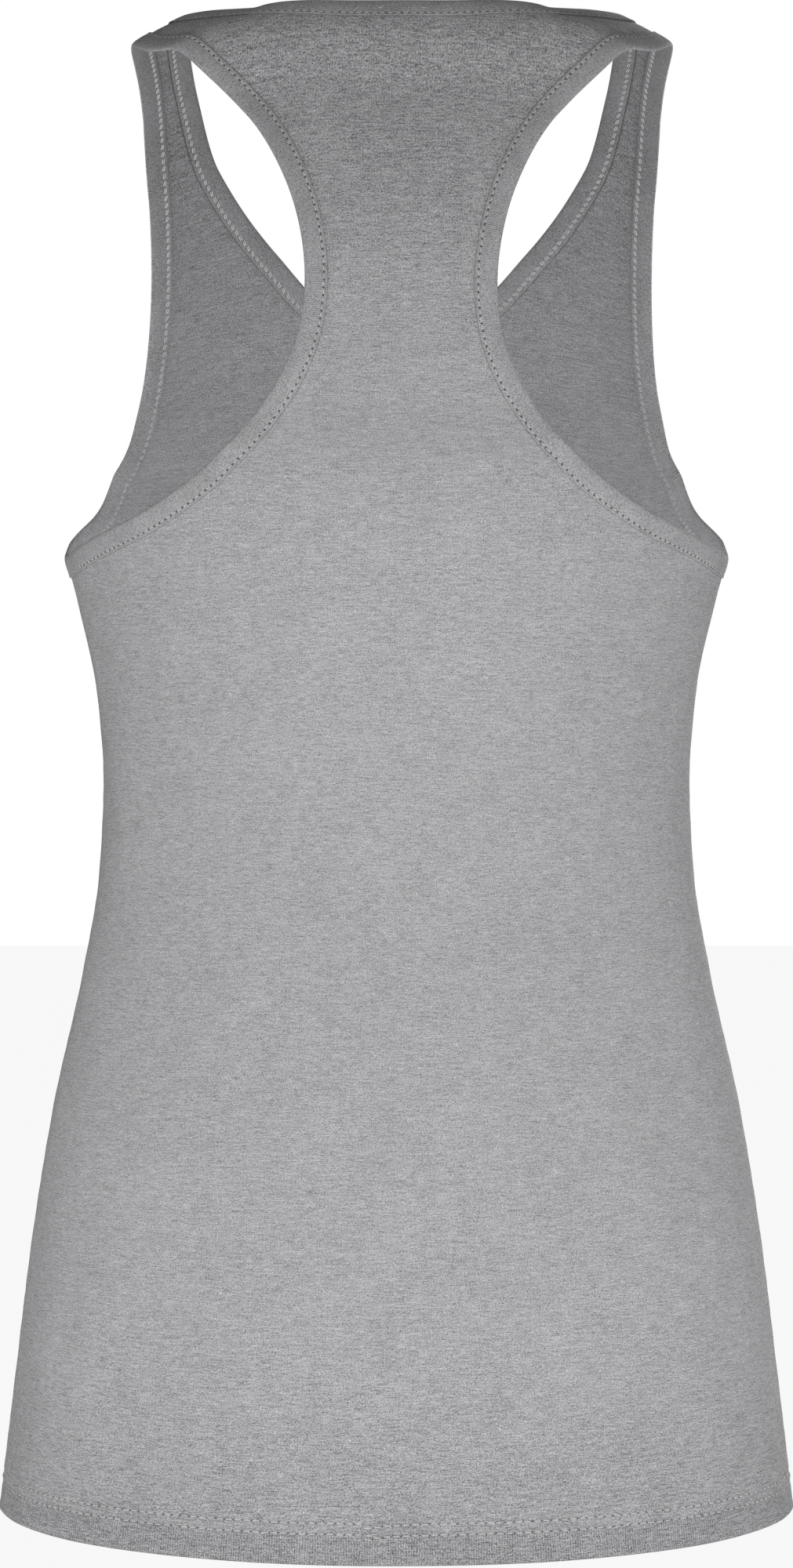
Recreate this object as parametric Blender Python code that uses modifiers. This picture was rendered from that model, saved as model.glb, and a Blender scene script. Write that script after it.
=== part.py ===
# Racerback tank top, filled out as it is when worn, with nobody in it.
#
# The garment's back faces -Y and its front +Y. +X is the wearer's right and +Z is up. The origin lies
# midway between the crests of the two shoulder straps, where the wearer's shoulders hold it.
#
# Each panel is cut flat and then laid on the worn form. A place on a panel is given by two sizes: "turn",
# the angle round the body from the centre line (0 degrees) to the side seam (90 degrees), and "up", the
# height in millimetres. Above the armpits, up goes on along the cloth as it curls over the shoulders.
#
# Five pieces: a back panel, a front panel, one neck binding and two armhole bindings. The hem is each
# panel's own lower edge, turned up inside.

import math
from collections import namedtuple

import bmesh
import bpy
import numpy as np
from mathutils import Vector
from mathutils.geometry import delaunay_2d_cdt

MM = 0.001

# Levels of the worn form
HEM_UP = -658.5
HEM_DIP = 9.5
DIP_FROM_UP = -500.0
POLE_UP = -200.0
CREST_UP = 20.0
SIDE_TURN = 90.0

# Cloth
CLOTH_THICK = 1.2
HEM_THICK = 2.4
HEM_HEIGHT = 16.0
SEAM_GAP = 0.3

# Folded rib bindings
BINDING_WIDE = 10.0
BINDING_PROUD = 0.6
BINDING_DEEP = 1.8
BINDING_ROUND = 1.4

# Spacing of the facets
FLAT_PER_TURN = 2.33
GRID_STEP = 19.0
EDGE_STEP = 13.0
EDGE_STRIP = 4.0
HEM_LEDGE = 1.5

# The worn form, a row for each level: half its width, the depth of the back and of the front from the
# side seams' plane, and how square the section is (2 is an ellipse). From the pole up, the depths are
# measured from the pole line as the section swings about it, up to the crest, where it is level.
Level = namedtuple("Level", "up half back front square")
LEVELS = (
    Level(-658.5, 176.8, 119.0, 118.0, 2.20),
    Level(-600, 169.8, 118.0, 119.0, 2.20),
    Level(-540, 162.5, 110.0, 116.0, 2.20),
    Level(-480, 152.8, 100.0, 110.0, 2.20),
    Level(-420, 139.6, 89.0, 103.0, 2.20),
    Level(-375, 132.3, 84.0, 99.0, 2.25),
    Level(-335, 130.5, 85.0, 100.0, 2.30),
    Level(-295, 133.5, 91.0, 105.0, 2.35),
    Level(-255, 142.0, 101.0, 114.0, 2.40),
    Level(-225, 149.8, 108.0, 121.0, 2.45),
    Level(-200, 152.5, 110.0, 123.0, 2.50),
    Level(-175, 152.5, 110.5, 124.0, 2.55),
    Level(-140, 155.0, 119.0, 132.0, 2.60),
    Level(-95, 160.0, 141.0, 145.0, 2.80),
    Level(-45, 167.5, 180.0, 172.0, 3.05),
    Level(-20, 171.5, 209.5, 197.5, 3.55),
    Level(20, 174.5, 214.0, 214.0, 4.70),
)

# Seam lines of the panels, a row for each point that the curve needs.
Cut = namedtuple("Cut", "turn up")
BACK_ARMHOLE = (
    Cut(90.0, -244.0),
    Cut(60.0, -238.0),
    Cut(42.0, -225.5),
    Cut(28.3, -205.0),
    Cut(18.5, -170.5),
    Cut(12.6, -134.5),
    Cut(11.4, -104.0),
    Cut(14.1, -71.5),
    Cut(20.4, -45.5),
    Cut(29.7, -27.5),
    Cut(37.2, -9.0),
    Cut(40.2, 20.0),
)
FRONT_ARMHOLE = (
    Cut(90.0, -244.0),
    Cut(74.8, -234.0),
    Cut(59.5, -215.0),
    Cut(52.7, -188.0),
    Cut(47.9, -154.0),
    Cut(42.2, -92.0),
    Cut(39.9, -44.0),
    Cut(39.7, -12.0),
    Cut(40.2, 20.0),
)
BACK_NECK = (
    Cut(0.0, -26.0),
    Cut(12.0, -25.0),
    Cut(24.0, -19.0),
    Cut(31.3, -8.0),
    Cut(35.6, 5.0),
    Cut(36.8, 20.0),
)
FRONT_NECK = (
    Cut(0.0, -127.5),
    Cut(12.5, -118.5),
    Cut(24.0, -86.5),
    Cut(31.2, -57.5),
    Cut(35.6, -32.0),
    Cut(37.2, -8.0),
    Cut(36.8, 20.0),
)


# ---------------------------------------------------------------- the worn form


def rising_slopes(xs, ys):
    """Slopes for a smooth curve through the levels that never overshoots them."""
    steps = np.diff(xs)
    slopes = np.diff(ys) / steps
    out = np.zeros(len(ys))
    out[0] = slopes[0]
    for i in range(1, len(xs) - 1):
        if slopes[i - 1] * slopes[i] > 0:
            before = 2 * steps[i] + steps[i - 1]
            after = steps[i] + 2 * steps[i - 1]
            out[i] = (before + after) / (before / slopes[i - 1] + after / slopes[i])
    return out


LEVEL_UPS = np.array([level.up for level in LEVELS], float)
LEVEL_SIZES = {
    name: np.array([getattr(level, name) for level in LEVELS], float)
    for name in ("half", "back", "front", "square")
}
LEVEL_SLOPES = {name: rising_slopes(LEVEL_UPS, sizes) for name, sizes in LEVEL_SIZES.items()}


def form_size(name, up):
    """One of the form's sizes at a level."""
    i = int(np.clip(np.searchsorted(LEVEL_UPS, up) - 1, 0, len(LEVELS) - 2))
    step = LEVEL_UPS[i + 1] - LEVEL_UPS[i]
    t = min(max((up - LEVEL_UPS[i]) / step, 0.0), 1.0)
    low, high = LEVEL_SIZES[name][i], LEVEL_SIZES[name][i + 1]
    leave, arrive = LEVEL_SLOPES[name][i], LEVEL_SLOPES[name][i + 1]
    near = (1 + 2 * t) * (1 - t) ** 2 * low + t * (1 - t) ** 2 * step * leave
    far = t * t * (3 - 2 * t) * high + t * t * (t - 1) * step * arrive
    return float(near + far)


def dip(turn, up):
    """How far the skirt hangs lower than its side seams, most at the middle of the hem."""
    share = max(0.0, (DIP_FROM_UP - up) / (DIP_FROM_UP - HEM_UP))
    return HEM_DIP * share**2 * abs(math.cos(math.radians(turn))) ** 1.3


def form_point(side, turn, up):
    """A place on the outside of the cloth, in millimetres. side is "back" or "front"."""
    across = math.sin(math.radians(turn))
    reach = form_size(side, up) * math.sqrt(max(0.0, 1 - abs(across) ** form_size("square", up)))
    swing = max(0.0, (up - POLE_UP) / (CREST_UP - POLE_UP)) * math.pi / 2
    facing = -1 if side == "back" else 1
    y = facing * (reach * math.cos(swing) + SEAM_GAP / 2)
    z = POLE_UP + reach * math.sin(swing) if up > POLE_UP else up - dip(turn, up)
    return Vector((form_size("half", up) * across, y, z))


def form_normal(side, turn, up):
    """The direction out of the cloth at a place on the form."""
    turn = min(turn, SIDE_TURN - 0.2)
    round_body = form_point(side, turn + 0.1, up) - form_point(side, turn - 0.1, up)
    up_body = form_point(side, turn, up) - form_point(side, turn, up - 0.5)
    out = round_body.cross(up_body).normalized()
    return out if side == "back" else -out


# ---------------------------------------------------------------- edges


def smooth_curve(rows, before, after, fine=24):
    """Many places along a smooth curve through the rows, which before and after lead in and out of."""
    knots = [np.array(row, float) for row in (before, *rows, after)]
    flat = np.array([FLAT_PER_TURN, 1.0])
    gaps = [np.linalg.norm((b - a) * flat) for a, b in zip(knots, knots[1:])]
    out = []
    for i in range(1, len(knots) - 2):
        g0, g1, g2 = gaps[i - 1 : i + 2]
        secants = [(knots[i + k] - knots[i + k - 1]) / gap for k, gap in enumerate((g0, g1, g2))]
        leave = (secants[0] * g1 + secants[1] * g0) / (g0 + g1)
        arrive = (secants[1] * g2 + secants[2] * g1) / (g1 + g2)
        for t in np.arange(fine) / fine:
            near = (1 + 2 * t) * (1 - t) ** 2 * knots[i] + t * (1 - t) ** 2 * g1 * leave
            far = t * t * (3 - 2 * t) * knots[i + 1] + t * t * (t - 1) * g1 * arrive
            out.append(near + far)
    out.append(knots[-2])
    return out


def evenly(side, places, step):
    """The same curve with its places about one step apart on the form."""
    points = [form_point(side, *place) for place in places]
    along = np.concatenate([[0], np.cumsum([(b - a).length for a, b in zip(points, points[1:])])])
    marks = np.linspace(0, along[-1], max(2, round(along[-1] / step) + 1))
    marks = np.sort(np.append(marks, along[-1] - EDGE_STRIP))
    turns = np.interp(marks, along, [place[0] for place in places])
    ups = np.interp(marks, along, [place[1] for place in places])
    return [Cut(float(turn), float(up)) for turn, up in zip(turns, ups)]


def past_side(row):
    return Cut(2 * SIDE_TURN - row.turn, row.up)


def past_crest(row):
    return Cut(row.turn, 2 * CREST_UP - row.up)


def past_centre(row):
    return Cut(-row.turn, row.up)


def armhole_edge(side):
    """The seam line of one armhole from the side seam up to the shoulder seam."""
    rows, other = (BACK_ARMHOLE, FRONT_ARMHOLE) if side == "back" else (FRONT_ARMHOLE, BACK_ARMHOLE)
    return evenly(side, smooth_curve(rows, past_side(other[1]), past_crest(other[-2])), EDGE_STEP)


def neck_edge(side):
    """The seam line of one half of the neck from the centre line to the shoulder seam."""
    rows, other = (BACK_NECK, FRONT_NECK) if side == "back" else (FRONT_NECK, BACK_NECK)
    return evenly(side, smooth_curve(rows, past_centre(rows[1]), past_crest(other[-2])), EDGE_STEP)


# ---------------------------------------------------------------- panels


def panel_rows():
    """The levels of the facets below the armholes, from the hem up."""
    ledge = HEM_UP + HEM_HEIGHT
    underarm = BACK_ARMHOLE[0].up
    first = ledge + HEM_LEDGE
    count = round((underarm - first) / GRID_STEP)
    return [HEM_UP, ledge, *np.linspace(first, underarm, count + 1)]


def panel_outline(side):
    """The half panel's outline, flat, as runs of places that follow each other round it."""
    rows = panel_rows()
    columns = round(SIDE_TURN * FLAT_PER_TURN / GRID_STEP)
    beside_seam = SIDE_TURN - EDGE_STRIP / FLAT_PER_TURN
    hem = [Cut(SIDE_TURN * i / columns, HEM_UP) for i in range(columns)]
    hem += [Cut(beside_seam, HEM_UP)]
    seam = [Cut(SIDE_TURN, up) for up in rows]
    armhole = armhole_edge(side)
    neck = neck_edge(side)[::-1]
    top = neck[-1].up
    middle_rows = [up for up in rows if up < top - EDGE_STEP]
    above = round((top - rows[-1]) / EDGE_STEP)
    middle_rows += list(np.linspace(rows[-1], top, above + 1))[1:-1]
    middle = [Cut(0.0, up) for up in middle_rows[::-1]]
    return [hem, seam, armhole[1:], neck, middle[:-1]]


def inset(run, distance):
    """The places of a run moved into the panel, which lies on its left."""
    out = []
    for before, here, after in zip(run, run[1:], run[2:]):
        ahead = Vector(((after.turn - before.turn) * FLAT_PER_TURN, after.up - before.up)).normalized()
        out.append((here.turn * FLAT_PER_TURN - ahead.y * distance, here.up + ahead.x * distance))
    return out


def is_inside(point, loop):
    """Whether a flat point lies in the closed loop."""
    crossings = 0
    for (x0, y0), (x1, y1) in zip(loop, loop[1:] + loop[:1]):
        if (y0 > point[1]) != (y1 > point[1]):
            crossings += point[0] < x0 + (point[1] - y0) / (y1 - y0) * (x1 - x0)
    return crossings % 2 == 1


def clear_of(point, others, distance):
    return all(math.dist(point, other) >= distance for other in others)


def flat_panel(side):
    """The half panel's flat points, its outline's edges, and its facets."""
    runs = panel_outline(side)
    loop = [(place.turn * FLAT_PER_TURN, place.up) for run in runs for place in run]
    strip = []
    for run in runs[1:4]:
        for point in inset(run, EDGE_STRIP):
            if is_inside(point, loop) and clear_of(point, loop + strip, 0.75 * EDGE_STRIP):
                strip.append(point)
    shoulder = (runs[2][-1].turn + runs[3][0].turn) / 2
    strip.append((shoulder * FLAT_PER_TURN, CREST_UP - EDGE_STRIP))
    rows = panel_rows()
    step = FLAT_PER_TURN * runs[0][1].turn
    above = math.floor((CREST_UP - rows[-1]) / GRID_STEP)
    grid = [
        (i * step, up)
        for up in rows[1:] + [rows[-1] + GRID_STEP * k for k in range(1, above + 1)]
        for i in range(1, len(runs[0]))
    ]
    grid = [p for p in grid if is_inside(p, loop) and clear_of(p, strip + loop, 0.45 * GRID_STEP)]
    points = [Vector(point) for point in loop + strip + grid]
    edges = [(i, (i + 1) % len(loop)) for i in range(len(loop))]
    flat, _, faces, *_ = delaunay_2d_cdt(points, edges, [], 1, 1e-4)
    return flat, faces


def build_panel(name, side, colour):
    """Half a panel as an open sheet on the form, mirrored and given its thickness inwards."""
    flat, faces = flat_panel(side)
    mesh = bpy.data.meshes.new(name)
    panel = bpy.data.objects.new(name, mesh)
    hem = panel.vertex_groups.new(name="hem")
    bm = bmesh.new()
    for x, up in flat:
        bm.verts.new(form_point(side, x / FLAT_PER_TURN, up) * MM)
    bm.verts.ensure_lookup_table()
    for face in faces:
        order = face if side == "back" else face[::-1]
        bm.faces.new([bm.verts[i] for i in order])
    bm.to_mesh(mesh)
    bm.free()
    hem_top = HEM_UP + HEM_HEIGHT + 0.1
    hem.add([i for i, place in enumerate(flat) if place.y < hem_top], 1.0, "REPLACE")
    mirror = panel.modifiers.new("Both halves", "MIRROR")
    mirror.use_axis = (True, False, False)
    mirror.merge_threshold = 0.00005
    wall = panel.modifiers.new("Cloth", "SOLIDIFY")
    wall.thickness = HEM_THICK * MM
    wall.offset = -1.0
    wall.vertex_group = hem.name
    wall.thickness_vertex_group = CLOTH_THICK / HEM_THICK
    finish(panel, colour)
    return panel


# ---------------------------------------------------------------- bindings


def binding_section():
    """The folded strip's section: how far past the seam line, and how far out of the cloth."""
    fold = BINDING_WIDE - BINDING_ROUND
    middle = (BINDING_PROUD - BINDING_DEEP) / 2
    chamfer = 0.35 * BINDING_ROUND
    return (
        (SEAM_GAP, BINDING_PROUD),
        (fold, BINDING_PROUD),
        (BINDING_WIDE - chamfer, middle + 0.6 * (BINDING_PROUD - middle)),
        (BINDING_WIDE, middle),
        (BINDING_WIDE - chamfer, middle - 0.6 * (BINDING_PROUD - middle)),
        (fold, -BINDING_DEEP),
        (SEAM_GAP, -BINDING_DEEP),
    )


def seam_frames(places):
    """Each place's point and normal; at a seam between the panels it lies in the seams' plane."""
    frames = []
    for side, place in places:
        point = form_point(side, *place)
        normal = form_normal(side, *place)
        if abs(point.y) <= SEAM_GAP / 2 + 1e-6:
            point.y = 0.0
            normal.y = 0.0
            normal.normalize()
        frames.append((point, normal))
    return frames


def sweep(frames, is_ring, hole_side):
    """Corner points of the section at each frame. hole_side is 1 or -1."""
    rings = []
    last = len(frames) - 1
    for i, (point, normal) in enumerate(frames):
        if is_ring:
            ahead = frames[(i + 1) % len(frames)][0] - frames[i - 1][0]
        else:
            ahead = frames[min(i + 1, last)][0] - frames[max(i - 1, 0)][0]
        if not is_ring and i in (0, last):
            ahead = Vector((1.0 if i == 0 else -1.0, 0.0, 0.0))
        into_hole = hole_side * ahead.cross(normal).normalized()
        rings.append([point + into_hole * far + normal * out for far, out in binding_section()])
    return rings


def build_binding(name, frames, is_ring, hole_side, flip_x, colour):
    """A folded strip swept along a seam line."""
    mesh = bpy.data.meshes.new(name)
    binding = bpy.data.objects.new(name, mesh)
    across = Vector((-1.0, 1.0, 1.0)) if flip_x else Vector((1.0, 1.0, 1.0))
    bm = bmesh.new()
    rings = [
        [bm.verts.new(corner * across * MM) for corner in ring]
        for ring in sweep(frames, is_ring, hole_side)
    ]
    pairs = list(zip(rings, rings[1:])) + ([(rings[-1], rings[0])] if is_ring else [])
    for ring, following in pairs:
        for i in range(len(ring)):
            j = (i + 1) % len(ring)
            corners = (ring[i], ring[j], following[j], following[i])
            bm.faces.new(corners[::-1] if hole_side * (-1 if flip_x else 1) < 0 else corners)
    bm.to_mesh(mesh)
    bm.free()
    if not is_ring:
        mirror = binding.modifiers.new("Both halves", "MIRROR")
        mirror.use_axis = (True, False, False)
        mirror.merge_threshold = 0.00005
    finish(binding, colour)
    return binding


def build_neck_binding(colour):
    """Half of the neck's ring, from the centre of the back to the centre of the front, mirrored."""
    back = [("back", place) for place in neck_edge("back")]
    front = [("front", place) for place in neck_edge("front")[::-1]]
    return build_binding("neck_binding", seam_frames(back + front[1:]), False, -1, False, colour)


def build_armhole_binding(name, flip_x, colour):
    """The ring round one armhole: up the back from the side seam, and down the front."""
    back = [("back", place) for place in armhole_edge("back")]
    front = [("front", place) for place in armhole_edge("front")[::-1]]
    return build_binding(name, seam_frames(back + front[1:-1]), True, 1, flip_x, colour)


# ---------------------------------------------------------------- materials and scene


def make_material(name, colour, roughness):
    material = bpy.data.materials.new(name)
    material.use_nodes = True
    shader = material.node_tree.nodes["Principled BSDF"]
    shader.inputs["Base Color"].default_value = (*colour, 1.0)
    shader.inputs["Roughness"].default_value = roughness
    shader.inputs["Metallic"].default_value = 0.0
    return material


def jersey(name):
    """Heather grey jersey."""
    return make_material(name, (0.37, 0.365, 0.375), 0.92)


def rib(name):
    """Heather grey rib, a little darker where it is folded."""
    return make_material(name, (0.31, 0.305, 0.315), 0.9)


def finish(thing, material):
    thing.data.materials.append(material)
    thing.data.shade_smooth()
    bpy.data.collections["tank_top"].objects.link(thing)


def clear_scene():
    for thing in list(bpy.data.objects):
        bpy.data.objects.remove(thing, do_unlink=True)
    collection = bpy.data.collections.new("tank_top")
    bpy.context.scene.collection.children.link(collection)


def build_tank_top():
    clear_scene()
    build_panel("back_panel", "back", jersey("back jersey"))
    build_panel("front_panel", "front", jersey("front jersey"))
    build_neck_binding(rib("neck rib"))
    build_armhole_binding("right_armhole_binding", False, rib("right armhole rib"))
    build_armhole_binding("left_armhole_binding", True, rib("left armhole rib"))


build_tank_top()
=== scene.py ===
import math
import random

import bmesh
import bpy
import numpy as np
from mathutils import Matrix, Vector
from mathutils.geometry import delaunay_2d_cdt


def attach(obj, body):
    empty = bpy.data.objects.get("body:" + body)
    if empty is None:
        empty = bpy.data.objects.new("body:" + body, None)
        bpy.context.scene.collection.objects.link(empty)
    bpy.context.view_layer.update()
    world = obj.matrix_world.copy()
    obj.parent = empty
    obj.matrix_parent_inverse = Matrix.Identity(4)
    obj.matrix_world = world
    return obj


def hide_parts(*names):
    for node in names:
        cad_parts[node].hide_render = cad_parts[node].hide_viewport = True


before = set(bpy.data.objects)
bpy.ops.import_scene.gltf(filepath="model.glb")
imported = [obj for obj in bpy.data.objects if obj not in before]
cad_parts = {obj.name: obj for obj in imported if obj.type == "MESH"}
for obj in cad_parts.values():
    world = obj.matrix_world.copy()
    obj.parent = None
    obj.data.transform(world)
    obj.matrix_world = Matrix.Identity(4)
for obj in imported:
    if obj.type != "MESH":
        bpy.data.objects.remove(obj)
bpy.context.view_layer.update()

random.seed(11)
mm = 0.001

# The garment's back faces -Y and its front +Y. A place on the cloth is a side, a turn round the body
# (0 at the centre line, 90 at the side seam, below zero on the left) and a height up, in millimetres.
# Above poleUp, up is no longer a height: from there to crestUp it turns the cloth over the shoulders.

# the worn form

body = {
    "hemUp": -658.5,
    "hemDip": 9.5,          # how much lower the middle of the hem hangs
    "dipFrom": -500.0,
    "poleUp": -200.0,       # the level the shoulders swing about
    "crestUp": 20.0,
    "lean": 2.4,            # how far the shoulders sit to the right
    "leanFrom": -245.0,
    "leanTo": -60.0,
    "turnWidth": 2.33,      # nominal millimetres in one degree of turn, not measured on the form
}

levels = (                  # up, half width, back depth, front depth, squareness
    (-658.5, 176.8, 119.0, 118.0, 2.20),
    (-600.0, 169.8, 118.0, 119.0, 2.20),
    (-540.0, 162.5, 110.0, 116.0, 2.20),
    (-480.0, 152.8, 100.0, 110.0, 2.20),
    (-420.0, 139.6, 89.0, 103.0, 2.20),
    (-375.0, 132.3, 84.0, 99.0, 2.25),
    (-335.0, 130.5, 85.0, 100.0, 2.30),
    (-295.0, 133.5, 91.0, 105.0, 2.35),
    (-255.0, 142.0, 101.0, 114.0, 2.40),
    (-225.0, 149.8, 108.0, 121.0, 2.45),
    (-200.0, 152.5, 110.0, 123.0, 2.50),
    (-175.0, 152.5, 110.5, 124.0, 2.55),
    (-140.0, 155.0, 119.0, 132.0, 2.60),
    (-95.0, 160.0, 141.0, 145.0, 2.80),
    (-45.0, 167.5, 180.0, 172.0, 3.05),
    (-20.0, 171.5, 210.5, 197.5, 3.55),
    (20.0, 174.5, 211.5, 211.5, 4.70),
)

seamLines = {               # turn, up: each panel's edge under its binding
    "back armhole": (
        (90.0, -244.0), (60.0, -238.0), (42.0, -225.5), (28.3, -205.0), (18.5, -170.5), (12.6, -134.5),
        (11.4, -104.0), (14.1, -71.5), (20.4, -45.5), (29.7, -27.5), (37.2, -9.0), (40.2, 20.0),
    ),
    "front armhole": (
        (90.0, -244.0), (74.8, -234.0), (59.5, -215.0), (52.7, -188.0), (47.9, -154.0), (42.2, -92.0),
        (39.9, -44.0), (39.7, -12.0), (40.2, 20.0),
    ),
    "back neck": (
        (0.0, -26.0), (12.0, -25.0), (24.0, -19.0), (31.3, -8.0), (35.6, 5.0), (36.8, 20.0),
    ),
    "front neck": (
        (0.0, -127.5), (12.5, -118.5), (24.0, -86.5), (31.2, -57.5), (35.6, -32.0), (37.2, -8.0),
        (36.8, 20.0),
    ),
}


def risingSlopes(xs, ys):
    steps = np.diff(xs)
    slopes = np.diff(ys) / steps
    out = np.zeros(len(ys))
    out[0] = slopes[0]
    for i in range(1, len(xs) - 1):
        if slopes[i - 1] * slopes[i] > 0:
            before = 2 * steps[i] + steps[i - 1]
            after = steps[i] + 2 * steps[i - 1]
            out[i] = (before + after) / (before / slopes[i - 1] + after / slopes[i])
    return out


levelUps = np.array([row[0] for row in levels])
sizeNames = ("half", "back", "front", "square")
levelSizes = {name: np.array([row[i + 1] for row in levels]) for i, name in enumerate(sizeNames)}
levelSlopes = {name: risingSlopes(levelUps, sizes) for name, sizes in levelSizes.items()}


def formSize(name, ups):
    ups = np.asarray(ups, float)
    i = np.clip(np.searchsorted(levelUps, ups) - 1, 0, len(levels) - 2)
    step = levelUps[i + 1] - levelUps[i]
    t = np.clip((ups - levelUps[i]) / step, 0, 1)
    sizes, slopes = levelSizes[name], levelSlopes[name]
    near = (1 + 2 * t) * (1 - t) ** 2 * sizes[i] + t * (1 - t) ** 2 * step * slopes[i]
    far = t * t * (3 - 2 * t) * sizes[i + 1] + t * t * (t - 1) * step * slopes[i + 1]
    return near + far


def smoothStep(t):
    t = np.clip(t, 0, 1)
    return t * t * (3 - 2 * t)


def formPoint(side, turns, ups):
    turns, ups = np.asarray(turns, float), np.asarray(ups, float)
    across = np.sin(np.radians(turns))
    reach = formSize(side, ups) * np.sqrt(np.maximum(0, 1 - np.abs(across) ** formSize("square", ups)))
    swing = np.maximum(0, (ups - body["poleUp"]) / (body["crestUp"] - body["poleUp"])) * math.pi / 2
    share = np.maximum(0, (body["dipFrom"] - ups) / (body["dipFrom"] - body["hemUp"]))
    dip = body["hemDip"] * share**2 * np.abs(np.cos(np.radians(turns))) ** 1.3
    lean = body["lean"] * smoothStep((ups - body["leanFrom"]) / (body["leanTo"] - body["leanFrom"]))
    facing = -1 if side == "back" else 1
    x = formSize("half", ups) * across + lean
    y = facing * reach * np.cos(swing)
    z = np.where(ups > body["poleUp"], body["poleUp"] + reach * np.sin(swing), ups - dip)
    return np.stack([x, y, z], -1)


def unit(vectors):
    return vectors / np.maximum(1e-9, np.linalg.norm(vectors, axis=-1, keepdims=True))


def formNormal(side, turns, ups):
    turns = np.clip(turns, -89.8, 89.8)
    ups = np.asarray(ups, float)
    round_ = formPoint(side, turns + 0.1, ups) - formPoint(side, turns - 0.1, ups)
    upward = formPoint(side, turns, ups + 0.2) - formPoint(side, turns, ups - 0.2)
    out = unit(np.cross(round_, upward))
    return out if side == "back" else -out


# nominal millimetres from the centre line, even along the hem, which is really an eighth longer
def hemArc(side, turns):
    fine = np.linspace(0, 90, 361)
    points = formPoint(side, fine, np.full(361, body["hemUp"] + 14.0))
    along = np.concatenate([[0], np.cumsum(np.linalg.norm(np.diff(points, axis=0), axis=1))])
    share = np.interp(np.abs(turns), fine, along / along[-1])
    return np.sign(turns) * share * 90 * body["turnWidth"]


# soft relief, out of the cloth, in millimetres

creases = (                 # side, turn, up, long, wide, high, lean in degrees from upright
    ("back", 33.0, -9.0, 16, 3.0, 0.9, 52),
    ("back", 35.5, -3.0, 12, 2.2, -0.6, 50),
    ("back", -33.5, -8.0, 15, 3.0, 0.8, -50),
    ("back", -36.0, -2.0, 11, 2.2, -0.6, -48),
    ("back", 58.0, -262.0, 42, 7.0, 0.9, 64),
    ("back", -60.0, -259.0, 46, 8.0, 1.0, -60),
    ("back", 74.0, -300.0, 60, 12.0, 1.2, 24),
    ("back", -76.0, -310.0, 66, 12.0, 1.1, -22),
    ("back", 22.0, -395.0, 70, 16.0, -0.8, 74),
    ("back", -26.0, -372.0, 80, 18.0, -0.9, -78),
    ("back", 48.0, -560.0, 120, 20.0, 1.5, -7),
    ("back", -50.0, -575.0, 110, 21.0, 1.6, 8),
    ("back", 6.0, -600.0, 100, 24.0, -1.1, 3),
    ("back", -78.0, -560.0, 110, 17.0, -1.2, 5),
    ("back", 80.0, -570.0, 105, 16.0, -1.1, -6),
    ("front", 66.0, -252.0, 44, 8.0, 1.2, 58),
    ("front", -64.0, -256.0, 40, 7.0, 1.1, -60),
    ("front", 40.0, -205.0, 52, 13.0, 1.3, 30),
    ("front", -42.0, -210.0, 56, 14.0, 1.2, -32),
    ("front", 20.0, -385.0, 84, 17.0, -1.0, 80),
    ("front", -30.0, -402.0, 72, 15.0, -0.9, -76),
    ("front", 36.0, -570.0, 120, 22.0, 1.7, -5),
    ("front", -34.0, -585.0, 115, 20.0, 1.5, 7),
    ("front", 2.0, -560.0, 125, 24.0, -1.3, 2),
    ("front", 72.0, -575.0, 110, 18.0, -1.2, -4),
    ("front", -74.0, -565.0, 105, 18.0, -1.2, 6),
)

hem = {
    "rows": (16.0, 11.8),   # how far the two rows of stitches lie above the edge
    "trough": 0.42,
    "troughWide": 0.9,
    "tunnel": 0.28,
    "joinAt": -12.6,        # where the rows end and start again
    "joinStep": 2.1,
    "joinFade": 9.0,
    "foldRadius": 0.85,
    "edgeRoll": 0.35,
    "lowerPaintedShade": 0.08,     # painted shade: how much darker the cloth is drawn towards the hem
    "bandShade": 0.12,      # how much darker the doubled band below the stitches is drawn
    "bandColumns": 0.15,
    # painted shade in the needle holes
    "holePaintedShade": 0.62,
}


# how much lower the rows of stitches run just after their join
def hemStep(side, turns):
    past = hemArc(side, turns) - hem["joinAt"]
    lower = hem["joinStep"] * np.exp(-np.maximum(past, 0) / hem["joinFade"])
    return np.where((past > 0) & (side == "back"), lower, 0.0)


def creaseRelief(side, turns, ups):
    out = np.zeros(len(turns))
    for onSide, turn, up, run, wide, high, leaning in creases:
        if onSide != side:
            continue
        x = (turns - turn) * body["turnWidth"]
        y = ups - up
        angle = math.radians(leaning)
        along = x * math.sin(angle) + y * math.cos(angle)
        over = x * math.cos(angle) - y * math.sin(angle)
        over = over + 0.0009 * along**2 * (1 if turn > 0 else -1)    # creases bow a little
        out += high * np.exp(-((over / wide) ** 2) - (along / run) ** 2)
    return out


def hemRelief(side, turns, ups):
    above = ups - body["hemUp"] + hemStep(side, turns)
    out = np.zeros(len(turns))
    for row in hem["rows"]:
        out -= hem["trough"] * np.exp(-(((above - row) / hem["troughWide"]) ** 2))
    middle = sum(hem["rows"]) / 2
    out += hem["tunnel"] * np.exp(-(((above - middle) / 1.3) ** 2))
    ripple = np.sin(turns * body["turnWidth"] / 5.3 + 2.1 * np.sin(turns * 0.23))
    out += 0.12 * ripple * np.exp(-(((above - 20) / 5.0) ** 2))
    out += 0.10 * ripple * np.exp(-(((above - 7) / 3.5) ** 2))
    out += hem["edgeRoll"] * np.exp(-((above / 2.2) ** 2))
    return out


def sideSeamRelief(turns, ups):
    beside = (90 - np.abs(turns)) * body["turnWidth"]
    ripple = 0.10 * np.sin(ups / 2.4 + 1.7 * np.sin(ups / 9.0)) * np.exp(-((beside / 5.0) ** 2))
    return -0.75 * np.exp(-((beside / 1.3) ** 2)) + 0.15 * np.exp(-(((beside - 3.5) / 2.0) ** 2)) + ripple


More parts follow.
